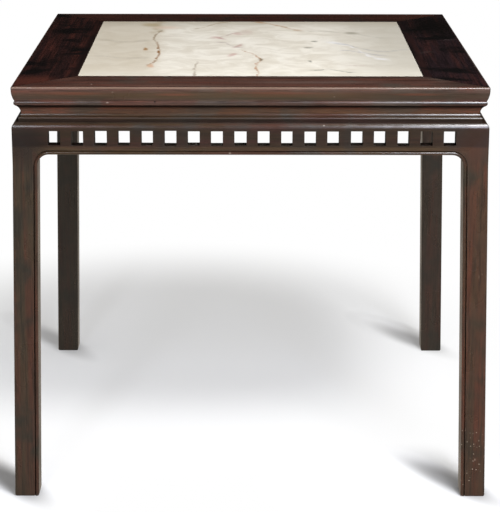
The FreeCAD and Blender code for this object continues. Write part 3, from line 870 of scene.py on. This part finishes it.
marble, tree = new_tree("marble_honed_cream")
place = add_node(tree, "TexCoord").outputs["Object"]
cloud = add_node(tree, "TexNoise", {"Vector": place, "Scale": 1 / cloud_size, "Detail": 5.0,
                                    "Roughness": 0.6, "Distortion": 0.8})
swirl = add_node(tree, "TexNoise", {"Vector": place, "Scale": 1 / swirl_size, "Detail": 5.0,
                                    "Roughness": 0.65})
offset = add_node(tree, "VectorMath", {0: swirl.outputs["Color"], 1: (0.5, 0.5, 0.5)},
                  operation="SUBTRACT")
wandering = add_node(tree, "VectorMath", {0: offset, 1: (wander,) * 3, 2: place},
                     operation="MULTIPLY_ADD")
run_axes = add_node(tree, "SeparateXYZ", {0: wandering})
broken = add_node(tree, "MapRange", {"Value": swirl.outputs[0], "From Min": 0.38, "From Max": 0.58,
                                     "To Min": 0.25}, **SMOOTH)
stone = add_node(tree, "MapRange", {"Value": cloud, "From Min": 0.34, "From Max": 0.66}, **SMOOTH)
stone = add_node(tree, "Mix", {"Factor": stone, "A": light_stone, "B": dark_stone}, **COLOURS)
for axis, start, end, tone, strength in hazes:
    haze = add_node(tree, "MapRange", {"Value": run_axes.outputs[axis], "From Min": start * MM,
                                       "From Max": end * MM, "To Max": strength}, **SMOOTH)
    stone = add_node(tree, "Mix", {"Factor": haze, "A": stone, "B": linear(tone)}, **COLOURS)
print("a slab", round(2 * slab_half / MM), "mm wide with", len(hazes), "hazes")

# %% Marble veins
ACROSS, DEEP = 0, 1
vein_core = 0.2
vein_end = 0.03


def share_of_slab(mm):
    """A place across the slab as 0 at its left or front edge to 1 at the other."""
    return 0.5 + mm * MM / (2 * slab_half)


def vein(stone, along, middles, width, tone, strength):
    """Blends one soft line into the stone. Its middles are pairs: along its run, and across it.

    Its colour is full over its core, a share of its width, and fades out just past its ends.
    """
    run, across = run_axes.outputs[along], run_axes.outputs[1 - along]
    share = add_node(tree, "MapRange", {"Value": run, "From Min": -slab_half, "From Max": slab_half})
    route = add_node(tree, "FloatCurve", {"Value": share})
    curve = route.mapping.curves[0]
    stops = sorted((share_of_slab(a), share_of_slab(b)) for a, b in middles)
    curve.points[0].location = (0, stops[0][1])
    curve.points[1].location = (1, stops[-1][1])
    for stop in stops:
        curve.points.new(*stop)
    route.mapping.update()
    middle = add_node(tree, "MapRange", {"Value": route, "To Min": -slab_half, "To Max": slab_half})
    beside = add_node(tree, "Math", {0: across, 1: middle}, operation="SUBTRACT")
    beside = add_node(tree, "Math", {0: beside}, operation="ABSOLUTE")
    line = add_node(tree, "MapRange", {"Value": beside, "From Min": width * MM,
                                       "From Max": vein_core * width * MM, "To Max": strength}, **SMOOTH)
    halfway = (stops[0][0] + stops[-1][0]) / 2
    half_run = (stops[-1][0] - stops[0][0]) / 2
    beyond = add_node(tree, "Math", {0: share, 1: halfway}, operation="SUBTRACT")
    beyond = add_node(tree, "Math", {0: beyond}, operation="ABSOLUTE")
    inside = add_node(tree, "MapRange", {"Value": beyond, "From Min": half_run + vein_end,
                                         "From Max": half_run}, **SMOOTH)
    shown = add_node(tree, "Math", {0: line, 1: inside}, operation="MULTIPLY")
    shown = add_node(tree, "Math", {0: shown, 1: broken}, operation="MULTIPLY")
    return add_node(tree, "Mix", {"Factor": shown, "A": stone, "B": linear(tone)}, **COLOURS)


veins = [
    (DEEP, [(345, -215), (300, -222), (250, -216), (205, -209)], 16, "#b5a587", 0.7),
    (DEEP, [(212, -207), (198, -210), (143, -217), (97, -218), (37, -209)], 4, "#9a8567", 0.8),
    (DEEP, [(50, -211), (37, -209), (-21, -203), (-92, -198), (-146, -201), (-200, -206),
            (-225, -216)], 4.5, "#94683a", 1.0),
    (DEEP, [(-200, -113), (-240, -115), (-290, -117), (-345, -112)], 4, "#96836b", 0.7),
    (ACROSS, [(-62, 53), (-40, 9), (-26, -8)], 14, "#ad9a90", 0.6),
    (ACROSS, [(-64, 140), (-46, 160), (-26, 192)], 10, "#b7a294", 0.6),
    (ACROSS, [(-124, 250), (-92, 300), (-62, 340)], 10, "#a99574", 0.7),
    (ACROSS, [(24, 342), (54, 306), (80, 273), (110, 230)], 15, "#b58f68", 0.8),
    (DEEP, [(-60, -12), (-83, 2), (-125, 14), (-165, 22), (-199, 16), (-244, 11), (-302, 16),
            (-348, 14)], 3.5, "#b07c4c", 0.8),
    (ACROSS, [(135, -287), (150, -284), (157, -270), (172, -282), (205, -309)], 9, "#858071", 0.8),
    (ACROSS, [(182, 58), (214, 25), (284, -156)], 22, "#f1eff0", 0.6),
    (ACROSS, [(205, 36), (247, -25), (290, -60), (335, -40)], 12, "#a5a19c", 0.6),
    (ACROSS, [(215, -50), (250, -80), (282, -108)], 12, "#a29da0", 0.55),
    (ACROSS, [(205, -228), (250, -242)], 14, "#bfae9f", 0.55),
    (ACROSS, [(140, 215), (190, 205), (240, 180), (300, 120)], 14, "#b5ae9c", 0.5),
    (ACROSS, [(-330, 90), (-290, 60), (-240, 75)], 20, "#aca28f", 0.45),
    (ACROSS, [(-320, -120), (-270, -150), (-230, -140)], 18, "#aca28f", 0.4),
]
for line in veins:
    stone = vein(stone, *line)
print(len(veins), "veins")

# %% [markdown]
# ## Blotches and the honed surface
#
# Near the veins, iron and other salts have spread into small blotches. A Voronoi texture would
# scatter such spots evenly, but these keep to the veins, so each is one soft oval. It is laid on the
# same wandering places as the veins, which makes its outline ragged. Honing with fine grit leaves the
# stone smooth to the hand and dull to the eye: a middling roughness, and a faint unevenness.

# %% Marble blotches
blotch_depth = 60
blotches = [
    ((-232, 300), (34, 42), 20, "#b3a27f", 0.8),
    ((-226, 190), (14, 30), 0, "#c2b397", 0.5),
    ((-231, -35), (8, 26), 0, "#a57a48", 0.95),
    ((-210, -236), (11, 32), 0, "#d2a27c", 0.7),
    ((-197, 262), (46, 34), 0, "#dfc4ae", 0.6),
    ((-69, 114), (12, 34), 35, "#b98f87", 0.85),
    ((-82, 120), (16, 20), 0, "#d9bdb2", 0.6),
    ((-28, 9), (9, 40), -20, "#ba9289", 0.7),
    ((-39, -104), (11, 36), -20, "#c79f93", 0.7),
    ((-29, 175), (15, 30), 0, "#c7a598", 0.6),
    ((-8, 200), (22, 60), 0, "#cdb8a8", 0.5),
    ((145, 69), (10, 15), 0, "#86806f", 0.9),
    ((127, -11), (13, 13), 0, "#958d7c", 0.75),
    ((129, -185), (5, 18), 0, "#77715f", 0.85),
    ((234, 186), (26, 26), 0, "#a49d8b", 0.75),
    ((22, -165), (6, 26), 0, "#7d6a50", 0.8),
]
for (x, y), size, turn, tone, strength in blotches:
    spot = patch(tree, wandering, (x, y, TOP), (*size, blotch_depth), turn)
    stain = add_node(tree, "Math", {0: spot, 1: strength}, operation="MULTIPLY")
    stone = add_node(tree, "Mix", {"Factor": stain, "A": stone, "B": linear(tone)}, **COLOURS)
print(len(blotches), "blotches")

# %% Honed surface
# The grit's own marks are far under a millimetre and can't be seen, so they are drawn 6 mm wide.
hone_width, hone_depth = 6 * MM, 0.1 * MM
honed_sheen = (0.26, 0.4)
marble_ior = 1.49
hone = add_node(tree, "TexNoise", {"Vector": place, "Scale": 1 / hone_width, "Detail": 2.0})
bump = add_node(tree, "Bump", {"Height": hone, "Strength": 0.08, "Distance": hone_depth})
sheen = add_node(tree, "MapRange", {"Value": cloud, "To Min": honed_sheen[0],
                                    "To Max": honed_sheen[1]})
surface = add_node(tree, "BsdfPrincipled", {"Base Color": stone, "Roughness": sheen,
                                            "IOR": marble_ior, "Normal": bump})
add_node(tree, "OutputMaterial", {"Surface": surface})
paint(finished["marble_panel"], marble)
print(marble.name, "has", len(tree.nodes), "nodes")

# %% [markdown]
# ## The view transform
#
# The frame and its dressed copy should fill the same space. The last cell only sets the Standard view
# transform.

# %% View transform
bpy.context.scene.view_settings.view_transform = "Standard"
